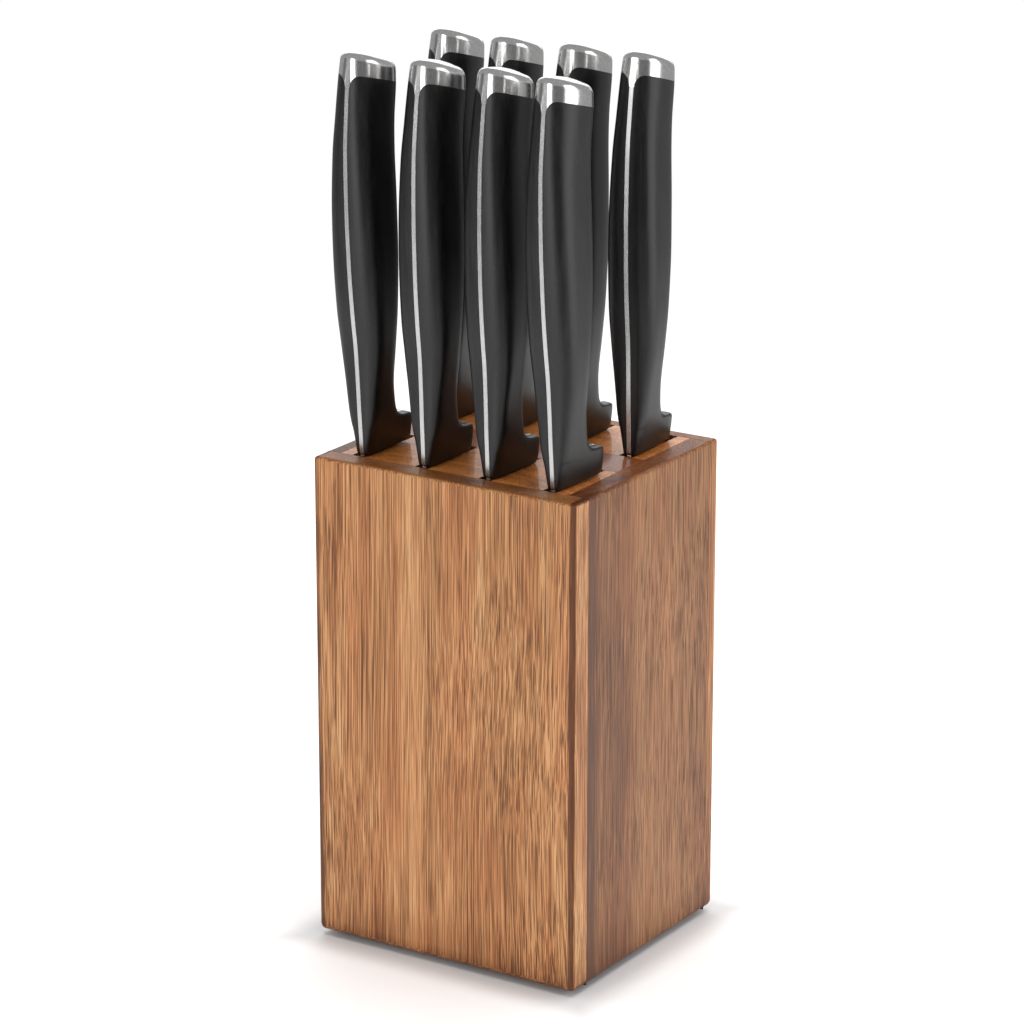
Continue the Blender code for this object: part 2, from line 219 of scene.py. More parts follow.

# What the boards are made of: tones, figure (the front's with painted corner shade), the axis across the
# board, the centre of the growth rings and the shift of the pattern in mm, the end grain and the weight of
# the clear coat.
WOODS = {
    "front": (FRONT_TONES, FRONT_FIGURE_AND_CORNER_SHADE, "X", (8.0, 70.0), (0, 0, 0), FRONT_END, 0.08),
    "back": (FRONT_TONES, BACK_FIGURE, "X", (-12.0, 130.0), (40, 210, 160), FRONT_END, 0.08),
    "side": (SIDE_TONES, SIDE_FIGURE, "Y", (-90.0, 12.0), (310, 70, 40), SIDE_END, 0.06),
    "core": (CORE_TONES, EVEN_FIGURE, "X", (0.0, -160.0), (120, 400, 90), CORE_END_AND_PAINTED_LIGHT, 0.35),
    "centre": (CENTRE_TONES, EVEN_FIGURE, "X", (0.0, -110.0), (520, 90, 10), CENTRE_END, 0.35),
}


def wandering(tree, place):
    """The place in the wood, moved sideways by a slow noise, so that the grain isn't straight."""
    slow = node(tree, "VectorMath", {0: place, 1: WANDER}, operation="MULTIPLY").outputs[0]
    noise = node(tree, "TexNoise", {"Vector": slow, "Scale": 1.0, "Detail": 0.7}).outputs["Color"]
    inputs = {0: noise, 1: WANDER_REACH, 2: place}
    return node(tree, "VectorMath", inputs, operation="MULTIPLY_ADD").outputs[0]


def growth_rings(tree, place, centre):
    """A noise value that changes only with the distance from an upright line through centre."""
    flat = node(tree, "VectorMath", {0: place, 1: (1.0, 1.0, 0.0)}, operation="MULTIPLY").outputs[0]
    radius = node(tree, "VectorMath", {0: flat, 1: (*centre, 0.0)}, operation="DISTANCE").outputs["Value"]
    count = maths(tree, "MULTIPLY", radius, RINGS_PER_MM)
    inputs = {"W": count, "Scale": 1.0, "Detail": 4.0, "Roughness": 0.6}
    return node(tree, "TexNoise", inputs, noise_dimensions="1D").outputs["Fac"]


def pore_mask(tree, place, amount):
    """Short dark pores, fine and bold, made fainter by amount."""
    fine = stretched_noise(tree, place, FINE_PORES, 1.0)
    bold = stretched_noise(tree, place, BOLD_PORES, 1.5, 0.6)
    fine = ramp(tree, fine, [(0.55, 0.0), (0.62, 0.9)])
    bold = ramp(tree, bold, [(0.60, 0.0), (0.645, 1.0)])
    return maths(tree, "MULTIPLY", maths(tree, "MAXIMUM", fine, bold), amount)


def wood(name, tones, figure_and_shade, axis, ring_centre, shift, end_grain, coat):
    """Acacia with its grain along z: growth rings round ring_centre, fibres, and short dark pores. The values
    are those of a row of WOODS."""
    material, tree, shader = new_material(
        name, Specular_IOR_Level=0.3, Coat_Weight=coat, Coat_Roughness=0.10, Coat_IOR=1.45,
    )
    parts = node(tree, "SeparateXYZ", {"Vector": place_in_mm(tree)})
    across, height = parts.outputs[axis], parts.outputs["Z"]
    place = wandering(tree, place_in_mm(tree, shift))
    rings = growth_rings(tree, place, [a + b for a, b in zip(ring_centre, shift)])
    cloud = stretched_noise(tree, place, CLOUDS, 3.0)
    fibre = stretched_noise(tree, place, FIBRES, 2.0, 0.6)

    # The front board's figure holds painted shade: dark rows along its rounded left and right corners.
    tone = scaled(tree, along(tree, across, figure_and_shade, 1), FIGURE_GAIN, (1 - FIGURE_GAIN) / 2)
    for noise, swing in ((rings, RING_SWING), (cloud, CLOUD_SWING), (fibre, FIBRE_SWING)):
        tone = maths(tree, "ADD", tone, spread(tree, noise, swing))
    tone = maths(tree, "SUBTRACT", tone, along(tree, height, LOWER_END_DARKENING, 1))
    color = ramp(tree, tone, list(zip(TONE_STOPS, tones)))
    redness = ramp(tree, stretched_noise(tree, place, RED_PATCHES, 2.0), [(0.42, 0.0), (0.62, 1.0)])
    color = blend(tree, redness, color, blend(tree, 1.0, color, RED_WASH, "MULTIPLY"))
    pores = pore_mask(tree, place, along(tree, across, figure_and_shade, 2))
    color = blend(tree, maths(tree, "MULTIPLY", pores, PORE_DARKNESS), color, PORE_COLOR)

    normal = node(tree, "TexCoord").outputs["Normal"]
    upward = node(tree, "SeparateXYZ", {"Vector": normal}).outputs["Z"]
    stops = list(zip(END_GRAIN_SEEN, ((1.0, 1.0, 1.0), end_grain)))
    color = blend(tree, 1.0, color, ramp(tree, maths(tree, "ABSOLUTE", upward), stops), "MULTIPLY")
    tree.links.new(color, shader.inputs["Base Color"])
    tree.links.new(scaled(tree, pores, PORE_ROUGHNESS, WOOD_ROUGHNESS), shader.inputs["Roughness"])
    ridges = maths(tree, "MULTIPLY", fibre, FIBRE_HEIGHT)
    bumped(tree, shader, scaled(tree, pores, -1.0, ridges), WOOD_RELIEF, 0.6)
    return material


# ---------------------------------------------------------------- steel, plastic and rubber
CAP_TONES = ((0.64, 0.635, 0.63), (0.82, 0.815, 0.81))
CAP_BRUSHING = (3.0, 3.0, 1.2)  # features per millimetre along each axis
BLADE_TONES = ((0.50, 0.495, 0.49), (0.62, 0.615, 0.61))
BLADE_BRUSHING = (5.0, 5.0, 0.25)
STEEL_PATCHES = (0.35, 0.35, 0.12)
BRUSHING_SWING = 0.10  # how far the brushing changes the roughness
PATCH_SWING = 0.08  # how far the patches change it
STEEL_RELIEF = 0.01 * MM


def steel(name, tones, roughness, grain, strength):
    """Satin stainless steel with a brushed grain and slightly duller patches."""
    material, tree, shader = new_material(name, Metallic=1.0)
    place = place_in_mm(tree)
    brushing = stretched_noise(tree, place, grain, 3.0, 0.65)
    patches = stretched_noise(tree, place, STEEL_PATCHES, 2.0)
    color = ramp(tree, brushing, [(0.35, tones[0]), (0.65, tones[1])])
    tree.links.new(color, shader.inputs["Base Color"])
    least = roughness - (BRUSHING_SWING + PATCH_SWING) / 2
    level = scaled(tree, patches, PATCH_SWING, scaled(tree, brushing, BRUSHING_SWING, least))
    tree.links.new(level, shader.inputs["Roughness"])
    bumped(tree, shader, brushing, STEEL_RELIEF, strength)
    return material


PLASTIC_DARK = (0.003, 0.003, 0.003)
PLASTIC_RUBBED = (0.009, 0.009, 0.009)
SCUFF_COLOR = (0.045, 0.044, 0.042)
PLASTIC_ROUGHNESS = 0.20
RUBBED_SWING = 0.14
SANDED_SWING = 0.24
PLASTIC_RELIEF = 0.03 * MM


def black_plastic(name):
    """Satin black moulded handle, finely sanded along its length, with a few rubbed streaks and scuffs."""
    material, tree, shader = new_material(name, Specular_IOR_Level=0.46)
    place = place_in_mm(tree)
    sanding = stretched_noise(tree, place, (1.8, 1.8, 0.06), 4.0, 0.65)
    specks = stretched_noise(tree, place, (5.0, 5.0, 5.0), 2.0)
    rubbed = stretched_noise(tree, place, (0.22, 0.22, 0.05), 3.0)
    scuffs = stretched_noise(tree, place, (2.0, 2.0, 0.7), 3.0, 0.7)
    color = ramp(tree, rubbed, [(0.35, PLASTIC_DARK), (0.70, PLASTIC_RUBBED)])
    color = blend(tree, ramp(tree, sanding, [(0.50, 0.0), (0.72, 0.30)]), color, SCUFF_COLOR)
    color = blend(tree, ramp(tree, scuffs, [(0.66, 0.0), (0.76, 0.8)]), color, SCUFF_COLOR)
    tree.links.new(color, shader.inputs["Base Color"])
    level = scaled(tree, sanding, SANDED_SWING, scaled(tree, rubbed, RUBBED_SWING, PLASTIC_ROUGHNESS))
    tree.links.new(level, shader.inputs["Roughness"])
    bumped(tree, shader, scaled(tree, specks, 0.5, sanding), PLASTIC_RELIEF, 0.5)
    return material


def black_rubber(name):
    material, tree, shader = new_material(name, Specular_IOR_Level=0.3)
    place = place_in_mm(tree)
    grit = stretched_noise(tree, place, (6.0, 6.0, 6.0), 3.0, 0.6)
    color = ramp(tree, grit, [(0.3, (0.018, 0.018, 0.018)), (0.7, (0.040, 0.040, 0.040))])
    tree.links.new(color, shader.inputs["Base Color"])
    tree.links.new(ramp(tree, grit, [(0.3, 0.70), (0.7, 0.90)]), shader.inputs["Roughness"])
    bumped(tree, shader, grit, 0.05 * MM, 0.6)
    return material


# ---------------------------------------------------------------- mesh helpers
SHARP_ANGLE = math.radians(38)


def mesh_from(bm, name, material):
    """Turns a bmesh into a smooth-shaded mesh. A closed shape's faces come to point outwards."""
    bmesh.ops.recalc_face_normals(bm, faces=bm.faces)
    mesh = bpy.data.meshes.new(name)
    bm.to_mesh(mesh)
    bm.free()
    mesh.materials.append(material)
    mesh.shade_smooth()
    mesh.set_sharp_from_angle(angle=SHARP_ANGLE)
    return mesh


def add_piece(name, mesh, body, replaced, matrix=None):
    piece = bpy.data.objects.new(name, mesh)
    if matrix:
        piece.matrix_world = matrix
    bpy.context.scene.collection.objects.link(piece)
    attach(piece, body)
    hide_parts(replaced)
    return piece


def add_strip(bm, first, second, closed=False):
    """Faces between two equally long rows of vertices."""
    count = len(first)
    for i in range(count if closed else count - 1):
        j = (i + 1) % count
        bm.faces.new((first[i], first[j], second[j], second[i]))


# ---------------------------------------------------------------- the block
SEAM_CLOSED = 0.13 * MM  # how far a board grows into the gap round it
BOTTOM_RADIUS = 2.0 * MM
OUTER_RADIUS = 1.0 * MM
INNER_RADIUS = 0.12 * MM
BEVEL_STEPS = 5
SPACERS = 5  # in each row, with a slot between each two


def block_box():
    """The corners of the wooden block without its feet."""
    boxes = [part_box(name) for name in ("front_board", "back_board", "left_board", "right_board")]
    low = Vector([min(box[0][i] for box in boxes) for i in range(3)])
    high = Vector([max(box[1][i] for box in boxes) for i in range(3)])
    return low, high


def board_corners(name, block):
    """The CAD board's corners, grown to close its seams. Spacers don't grow towards the slots beside them."""
    low, high = (Vector(corner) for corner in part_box(name))
    spacer = int(name.partition("_spacer_")[2] or 0)
    slot_on_left, slot_on_right = spacer > 1, 0 < spacer < SPACERS
    for axis in range(3):
        if abs(low[axis] - block[0][axis]) > SEAM_CLOSED and not (axis == 0 and slot_on_left):
            low[axis] -= SEAM_CLOSED
        if abs(high[axis] - block[1][axis]) > SEAM_CLOSED and not (axis == 0 and slot_on_right):
            high[axis] += SEAM_CLOSED
    return low, high


def edge_radius(edge, block):
    """Outer edges are rounded, most of all at the bottom. The others are only eased."""
    near = SEAM_CLOSED / 2
    ends = [vert.co for vert in edge.verts]
    sides = []
    for axis in range(3):
        for side, corner in enumerate(block):
            if all(abs(end[axis] - corner[axis]) < near for end in ends):
                sides.append((axis, side))
    if len(sides) < 2:
        return INNER_RADIUS
    underside = (2, 0)
    return BOTTOM_RADIUS if underside in sides else OUTER_RADIUS


def add_board(name, block, material):
    """One board: a box with its grown corners and eased edges."""
    low, high = board_corners(name, block)
    bm = bmesh.new()
    bmesh.ops.create_cube(bm, size=1.0)
    bmesh.ops.scale(bm, vec=high - low, verts=bm.verts)
    bmesh.ops.translate(bm, vec=(low + high) / 2, verts=bm.verts)
    weight = bm.edges.layers.float.new("bevel_weight_edge")
    for edge in bm.edges:
        edge[weight] = edge_radius(edge, block) / BOTTOM_RADIUS
    piece = add_piece(f"{name}_wood", mesh_from(bm, name, material), "block", name)
    bevel = piece.modifiers.new("eased edges", "BEVEL")
    bevel.limit_method = "WEIGHT"
    bevel.width = BOTTOM_RADIUS
    bevel.segments = BEVEL_STEPS
    bevel.harden_normals = True


def add_block():
    block = block_box()
    woods = {kind: wood(f"acacia_{kind}", *values) for kind, values in WOODS.items()}
    add_board("front_board", block, woods["front"])
    add_board("back_board", block, woods["back"])
    for name in ("left_board", "right_board"):
        add_board(name, block, woods["side"])
    add_board("centre_board", block, woods["centre"])
    add_board("bottom_board", block, woods["core"])
    for row in ("front", "back"):
        for number in range(1, SPACERS + 1):
            add_board(f"{row}_spacer_{number}", block, woods["core"])


FOOT_EDGE = 0.35 * MM
FOOT_EDGE_STEPS = 4
FOOT_RIM = 1.6 * MM
FOOT_RECESS = 0.25 * MM
FOOT_STEPS = 48
MERGE_DISTANCE = 0.001 * MM


def add_feet():
    """Round rubber pads with a raised rim underneath."""
    rubber = black_rubber("foot_rubber")
    for corner in ("front_left", "front_right", "back_left", "back_right"):
        name = f"foot_{corner}"
        low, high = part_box(name)
        centre = (low + high) / 2
        radius, top = (high.x - low.x) / 2, high.z + SEAM_CLOSED
        rim = radius - FOOT_RIM
        outline = [(0.0, FOOT_RECESS), (rim - FOOT_RECESS, FOOT_RECESS), (rim, low.z)]
        for step in range(FOOT_EDGE_STEPS + 1):
            angle = math.pi / 2 * step / FOOT_EDGE_STEPS
            out = radius - FOOT_EDGE * (2 - math.sin(angle))
            outline.append((out, low.z + FOOT_EDGE * (1 - math.cos(angle))))
        outline += [(radius, top), (0.0, top)]
        bm = bmesh.new()
        verts = [bm.verts.new((centre.x + r, centre.y, z)) for r, z in outline]
        edges = [bm.edges.new(pair) for pair in zip(verts, verts[1:])]
        bmesh.ops.spin(
            bm, geom=verts + edges, cent=(centre.x, centre.y, 0), axis=(0, 0, 1), angle=math.tau,
            steps=FOOT_STEPS, use_merge=True,
        )
        bmesh.ops.remove_doubles(bm, verts=bm.verts, dist=MERGE_DISTANCE)
        add_piece(f"{name}_pad", mesh_from(bm, name, rubber), "block", name)


# ---------------------------------------------------------------- the knives
HANDLE_LENGTH = 120.0
BLADE_LENGTH = 120.0
KNIVES = 8
GUARD_REACH = 23.0  # the guard's furthest point from the spine
TANG_HALF = 0.75
TANG_EASE = 0.12  # the plate's long edges are eased by this much
NARROW = 0.32  # how much thinner the lower end is at the spine than at the guard
NARROW_END = 14.0  # height where that has faded out
BUTT_SLOPE = math.tan(math.radians(17))
SLOPE_START = 60.0  # the sections start to tilt here, to meet the sloping butt
SEAM_HEIGHT = 113.6  # where the scales end and the butt cap starts, at the spine
CAP_FILLET_DEPTH = 3.7  # how far the cap runs down beside the tang
CAP_FILLET_WIDTH = 3.4
CAP_EDGE = 2.6  # the rounding of the butt's edge, inwards
CAP_EDGE_RISE = 2.9  # and upwards
CAP_CROWN = 0.9  # how far the butt is domed
SCALE_INNER = 0.77  # from the knife's middle to a scale's flat side

# Handle outline from the lower end to the butt: height at the spine, spine, belly, half thickness, and the
# power of the superellipse that makes the section, which is boxy at the guard and round at the butt.
HANDLE_ROWS = (
    (0.0, 0.4, 21.9, 2.95, 5.5), (0.5, 0.1, 22.2, 3.2, 5.5), (1.2, 0.0, 22.3, 3.4, 5.5),
    (4.0, -0.13, 22.35, 3.86, 5.5), (6.6, -0.27, 22.3, 4.14, 5.5), (7.4, -0.32, 22.05, 4.22, 5.5),
    (7.9, -0.35, 21.5, 4.27, 5.5), (8.3, -0.37, 20.3, 4.31, 5.5), (8.55, -0.38, 17.9, 4.33, 5.5),
    (9.2, -0.42, 15.8, 4.39, 5.4), (10.6, -0.49, 14.1, 4.53, 5.2), (13.8, -0.64, 12.8, 4.87, 4.8),
    (22.0, -0.9, 11.6, 5.8, 4.0), (32.0, -1.4, 12.0, 7.0, 3.5), (44.0, -2.6, 13.0, 7.75, 3.4),
    (58.0, -3.5, 14.0, 7.9, 3.4), (74.0, -3.9, 14.5, 7.6, 3.4), (90.0, -3.6, 15.1, 7.1, 3.1),
    (102.0, -2.5, 16.4, 6.7, 2.7), (113.6, -1.0, 18.5, 6.5, 2.4), (117.2, -0.4, 18.9, 6.35, 2.3),
)
# Blade outline from the tip to the handle: height, spine, edge, half thickness at the spine.
BLADE_ROWS = (
    (-120.0, 5.2, 6.0, 0.30), (-118.0, 4.0, 8.2, 0.40), (-112.0, 2.6, 12.0, 0.50), (-102.0, 1.4, 15.4, 0.60),
    (-88.0, 0.6, 17.7, 0.70), (-70.0, 0.3, 18.5, 0.78), (-40.0, 0.3, 18.5, 0.80), (-6.0, 0.3, 18.5, 0.80),
    (-3.5, 0.3, 17.0, 0.80), (-1.0, 0.3, 16.8, 0.80),
)
GRIND_START = 0.55  # the blade thins from this share of its width
EDGE_BEVEL = 0.6  # width of the cutting edge's own bevel
EDGE_BEVEL_HALF = 0.16  # half thickness where that bevel starts
EDGE_HALF = 0.03  # half thickness at the edge


class Outline:
    """Smooth curves through a table's columns, by the height in its first column. None overshoots a row."""

    def __init__(self, rows):
        self.heights = [row[0] for row in rows]
        self.columns = list(zip(*rows))[1:]
        self.slopes = [self.slopes_of(column) for column in self.columns]

    def slopes_of(self, column):
        gaps = [high - low for low, high in zip(self.heights, self.heights[1:])]
        steps = [(high - low) / gap for low, high, gap in zip(column, column[1:], gaps)]
        slopes = [steps[0]]
        for before, after in zip(steps, steps[1:]):
            slopes.append(2 * before * after / (before + after) if before * after > 0 else 0.0)
        return slopes + [steps[-1]]

    def at(self, height):
        height = min(max(height, self.heights[0]), self.heights[-1])
        i = max(k for k in range(len(self.heights) - 1) if self.heights[k] <= height)
        gap = self.heights[i + 1] - self.heights[i]
        t = (height - self.heights[i]) / gap
        values = []
        for column, slopes in zip(self.columns, self.slopes):
            start, end = column[i], column[i + 1]
            values.append(
                start * (1 + 2 * t) * (1 - t) ** 2 + end * t * t * (3 - 2 * t)
                + gap * (slopes[i] * t * (1 - t) ** 2 - slopes[i + 1] * t * t * (1 - t))
            )
        return values


HANDLE = Outline(HANDLE_ROWS)
BLADE = Outline(BLADE_ROWS)


def eased(value, start, end):
    """Runs smoothly from 0 at start to 1 at end."""
    share = min(max((value - start) / (end - start), 0.0), 1.0)
    return share * share * (3 - 2 * share)


def section_drop(height):
    """How steeply a handle section at this height falls from the spine to the belly."""
    return BUTT_SLOPE * eased(height, SLOPE_START, HANDLE_LENGTH)


def corner_share(power):
    """Where a section turns from its spine face to its side, as a share of its half thickness."""
    return 0.5 ** (1 / power)


def on_section(height, place, inner, outline=None):
    """A point on the right half of a handle section. Place is (end, share): from the tang (0) to the corner
    (1) on the spine face (end -1) or the belly face (end 1), or from corner (-1) to corner (1) on the side
    (end 0). An outline, of spine, belly, half thickness and power, stands in for the handle's own."""
    spine, belly, half, power = outline or HANDLE.at(height)
    middle, reach = (spine + belly) / 2, (belly - spine) / 2
    corner = corner_share(power)
    end, share = place
    if end:
        x = inner + (corner * half - inner) * share
        y = middle + end * reach * (1 - min(x / half, 1.0) ** power) ** (1 / power)
    else:
        x = half * (1 - abs(corner * share) ** power) ** (1 / power)
        y = middle + reach * corner * share
    if not outline:
        thinner = NARROW * (1 - eased(height, 0.0, NARROW_END)) * (1 - y / GUARD_REACH)
        x = inner + (x - inner) * (1 - thinner)
    return Vector((x, y, height - section_drop(height) * (y - spine)))


FILLET_STEPS = 8
FACE_STEPS = 4
SIDE_STEPS = 16


def section_places():
    """Places round the right half of a section, closest together where the cap's fillet curves most."""
    _, _, half, power = HANDLE.at(SEAM_HEIGHT)
    fillet_share = CAP_FILLET_WIDTH / (corner_share(power) * half - TANG_HALF)
    shares = [fillet_share * (1 - math.cos(math.pi / 2 * i / FILLET_STEPS)) for i in range(FILLET_STEPS + 1)]
    shares += [fillet_share + (1 - fillet_share) * i / FACE_STEPS for i in range(1, FACE_STEPS + 1)]
    side = [2 * i / SIDE_STEPS - 1 for i in range(1, SIDE_STEPS)]
    spine_face = [(-1, share) for share in shares]
    belly_face = [(1, share) for share in reversed(shares)]
    return spine_face + [(0, share) for share in side] + belly_face


PLACES = section_places()
FACE_COUNT = FILLET_STEPS + FACE_STEPS + 1  # places on the spine face, and on the belly face


def seam_height(place, inner):
    """Where scale meets cap: level round the handle, but dipping in a fillet beside the tang."""
    end, _ = place
    if not end:
        return SEAM_HEIGHT
    x = on_section(SEAM_HEIGHT, place, inner).x
    share = min(max((x - TANG_HALF) / CAP_FILLET_WIDTH, 0.0), 1.0)
    return SEAM_HEIGHT - CAP_FILLET_DEPTH * (1 - math.sqrt(1 - (1 - share) ** 2))


# Levels up the guard, closest together where its ledge turns into the grip.
GUARD_LEVELS = [
    0.0, 0.12, 0.3, 0.6, 1.0, 1.6, 2.6, 3.8, 5.0, 5.6, 6.0, 6.3, 6.6, 6.85, 7.1, 7.3, 7.5, 7.65, 7.8, 7.95,
    8.08, 8.2, 8.3, 8.38, 8.46, 8.55, 8.67, 8.8, 9.0, 9.2, 9.5, 9.9, 10.4, 11.0, 11.7, 12.6, 13.6, 15.0,
]
GRIP_START, GRIP_STEP, GRIP_STEPS = 17.0, 3.0, 31
HANDLE_LEVELS = GUARD_LEVELS + [GRIP_START + GRIP_STEP * i for i in range(GRIP_STEPS)]
DIP_STEPS = 5


def close_end(bm, verts):
    """Caps one end of a half section: strips across the spine and belly faces, and one face for the side."""
    spine, belly = verts[:FACE_COUNT], verts[:-FACE_COUNT - 1:-1]
    for i in range(FACE_COUNT - 1):
        bm.faces.new((spine[i], spine[i + 1], belly[i + 1], belly[i]))
    bm.faces.new(verts[FACE_COUNT - 1:-FACE_COUNT + 1])


def scale_mesh(name, material, side):
    """One handle scale, on the right of the tang for side 1 and on the left for side -1."""
    rings = [[on_section(height, place, SCALE_INNER) for place in PLACES] for height in HANDLE_LEVELS]
    last = HANDLE_LEVELS[-1]
    for step in range(1, DIP_STEPS + 1):
        ring = []
        for place in PLACES:
            top = seam_height(place, SCALE_INNER)
            ring.append(on_section(last + (top - last) * step / DIP_STEPS, place, SCALE_INNER))
        rings.append(ring)
    bm = bmesh.new()
    verts = [[bm.verts.new((p.x * side * MM, p.y * MM, p.z * MM)) for p in ring] for ring in rings]
    for lower, upper in zip(verts, verts[1:]):
        add_strip(bm, lower, upper)
        bm.faces.new((lower[0], lower[-1], upper[-1], upper[0]))
    close_end(bm, verts[0])
    close_end(bm, verts[-1])
    return mesh_from(bm, name, material)


TANG_STEPS = 2  # faces on each side of the middle, where the cap runs into the tang


def full_ring(height_at, outline_at=None):
    """Points right round the cap at height_at(place), starting beside the spine's middle."""
    right = [on_section(height_at(place), place, TANG_HALF, outline_at) for place in PLACES]
    ring = []
    for i in range(TANG_STEPS):
        ring.append(Vector((TANG_HALF * i / TANG_STEPS, right[0].y, right[0].z)))
    ring += right
    for i in reversed(range(TANG_STEPS)):
        ring.append(Vector((TANG_HALF * i / TANG_STEPS, right[-1].y, right[-1].z)))
    left = [Vector((-p.x, p.y, p.z)) for p in reversed(ring[1:-1])]
    return ring + left


CAP_SIDE_STEPS = 4
CAP_EDGE_STEPS = 7
CAP_DOME_SHARES = (0.97, 0.9, 0.8, 0.65, 0.45, 0.22)


def butt_ring(inset, lift):
    """A ring round the butt, in from its side and up from where its edge starts to round."""
    spine, belly, half, power = HANDLE_ROWS[-1][1:]
    outline = (spine + inset, belly - inset, half - inset, power)
    ring = full_ring(lambda place: 0.0, outline)
    for point in ring:
        point.z = HANDLE_ROWS[-1][0] + lift - BUTT_SLOPE * (point.y - spine)
    return ring


def cap_mesh(name, material):
    """The steel butt cap: fillets that run down beside the tang, a straight side and a rounded, domed end."""
    seam = full_ring(lambda place: seam_height(place, TANG_HALF))
    start = butt_ring(0.0, 0.0)
    rings = [seam]
    for step in range(1, CAP_SIDE_STEPS):
        rings.append([low.lerp(high, step / CAP_SIDE_STEPS) for low, high in zip(seam, start)])
    for step in range(CAP_EDGE_STEPS + 1):
        angle = math.pi / 2 * step / CAP_EDGE_STEPS
        rings.append(butt_ring(CAP_EDGE * (1 - math.cos(angle)), CAP_EDGE_RISE * math.sin(angle)))
    last = rings[-1]
    middle = sum(last, Vector()) / len(last)
    for share in CAP_DOME_SHARES:
        rise = Vector((0, 0, CAP_CROWN * (1 - share * share)))
        rings.append([middle.lerp(point, share) + rise for point in last])
    bm = bmesh.new()
    verts = [[bm.verts.new(point * MM) for point in ring] for ring in rings]
    for lower, upper in zip(verts, verts[1:]):
        add_strip(bm, lower, upper, closed=True)
    top = bm.verts.new((middle + Vector((0, 0, CAP_CROWN))) * MM)
    ring = verts[-1]
    for i, vert in enumerate(ring):
        bm.faces.new((vert, ring[(i + 1) % len(ring)], top))
    close_underside(bm, verts[0])
    return mesh_from(bm, name, material)


def close_underside(bm, ring):
    """Closes the cap's lower end: strips from the spine face to the belly face, and a face at each side."""
    half = TANG_STEPS + len(PLACES)
    right = ring[:half + TANG_STEPS]
    left = [ring[0]] + ring[:half + TANG_STEPS - 2:-1]
    count = TANG_STEPS + FACE_COUNT
    for side in (right, left):
        for i in range(count - 1):
            bm.faces.new((side[i], side[i + 1], side[-i - 2], side[-i - 1]))
        bm.faces.new(side[count - 1:len(side) - count + 1])


def tang_ring(height):
    spine, belly = HANDLE.at(height)[:2]
    drop = section_drop(height)
    near, far = TANG_HALF - TANG_EASE, TANG_HALF
    right = [
        (near, spine), (far, spine + TANG_EASE), (far, (spine + belly) / 2), (far, belly - TANG_EASE),
        (near, belly),
    ]
    points = right + [(-x, y) for x, y in reversed(right)]
    return [Vector((x, y, height - drop * (y - spine))) for x, y in points]


def blade_ring(height):
    spine, edge, half = BLADE.at(height)
    width = edge - spine
    bevel = min(EDGE_BEVEL, width / 3)
    right = [
        (half - TANG_EASE, spine), (half, spine + TANG_EASE), (half, spine + GRIND_START * width),
        (min(EDGE_BEVEL_HALF, half), edge - bevel), (EDGE_HALF, edge),
    ]
    points = right + [(-x, y) for x, y in reversed(right)]
    return [Vector((x, y, height)) for x, y in points]


TIP_STEP, TIP_STEPS = 0.4, 20
BLADE_STEP, BLADE_STEPS = 2.0, 53
HEEL_LEVELS = [-5.0, -4.4, -3.8, -3.2, -2.4, -1.0]


def blade_mesh(name, material):
    """Blade and full tang, ground from one plate."""
    tip_end = -BLADE_LENGTH + TIP_STEP * TIP_STEPS
    levels = [-BLADE_LENGTH + TIP_STEP * i for i in range(TIP_STEPS)]
    levels += [tip_end + BLADE_STEP * i for i in range(BLADE_STEPS)]
    rings = [blade_ring(height) for height in levels + HEEL_LEVELS]
    rings += [tang_ring(height) for height in HANDLE_LEVELS]
    rings.append(tang_ring(SEAM_HEIGHT - CAP_FILLET_DEPTH))
    bm = bmesh.new()
    verts = [[bm.verts.new(point * MM) for point in ring] for ring in rings]
    for lower, upper in zip(verts, verts[1:]):
        add_strip(bm, lower, upper, closed=True)
    for ring in (verts[0], verts[-1]):
        bm.faces.new(ring)
    return mesh_from(bm, name, material)


def knife_matrix(number):
    """Where a knife stands: origin at the handle's lower end, z the way it slides, y from spine to belly. The
    slide's axis gives its lean, and the CAD blade's points give its turn and its place."""
    joint = next(j for j in frame["joints"] if j["child"] == f"knife_{number}")
    axis = Vector(joint["axis"]).normalized()
    stand = Euler((math.asin(-axis.y), math.atan2(axis.x, axis.z), 0), "ZXY").to_matrix()
    mesh = frame["nodes"][f"blade_{number}"].data
    points = {tuple(round(c, 7) for c in vert.co) for vert in mesh.vertices}
    points = [stand.inverted() @ Vector(point) for point in points]
    middle = sum(points, Vector()) / len(points)
    xx = sum((p.x - middle.x) ** 2 for p in points)
    yy = sum((p.y - middle.y) ** 2 for p in points)
    xy = sum((p.x - middle.x) * (p.y - middle.y) for p in points)
    turn = math.atan2(2 * xy, xx - yy) / 2 % math.pi - math.pi / 2  # the plate's width runs along y
    spun = Matrix.Rotation(turn, 3, "Z")
    points = [spun.inverted() @ point for point in points]
    xs = [p.x for p in points]
    origin = Vector((
        (min(xs) + max(xs)) / 2,
        max(p.y for p in points) - GUARD_REACH * MM,
        min(p.z for p in points) + BLADE_LENGTH * MM,
    ))
    return (stand @ spun).to_4x4() @ Matrix.Translation(origin)


def add_knives():
    satin = steel("cap_steel", CAP_TONES, roughness=0.20, grain=CAP_BRUSHING, strength=0.2)
    plate = steel("blade_steel", BLADE_TONES, roughness=0.26, grain=BLADE_BRUSHING, strength=0.25)
    plastic = black_plastic("handle_plastic")
    meshes = {
        "blade": (blade_mesh("blade", plate), "steel_blade"),
        "butt_cap": (cap_mesh("butt_cap", satin), "steel_cap"),
        "scale_left": (scale_mesh("scale_left", plastic, -1), "handle_black"),
        "scale_right": (scale_mesh("scale_right", plastic, 1), "handle_black"),
    }
    for number in range(1, KNIVES + 1):
        matrix = knife_matrix(number)
        for kind, (mesh, slot) in meshes.items():
            add_piece(f"knife_{number}_{kind}", mesh, f"knife_{number}", f"{kind}_{number}", matrix)


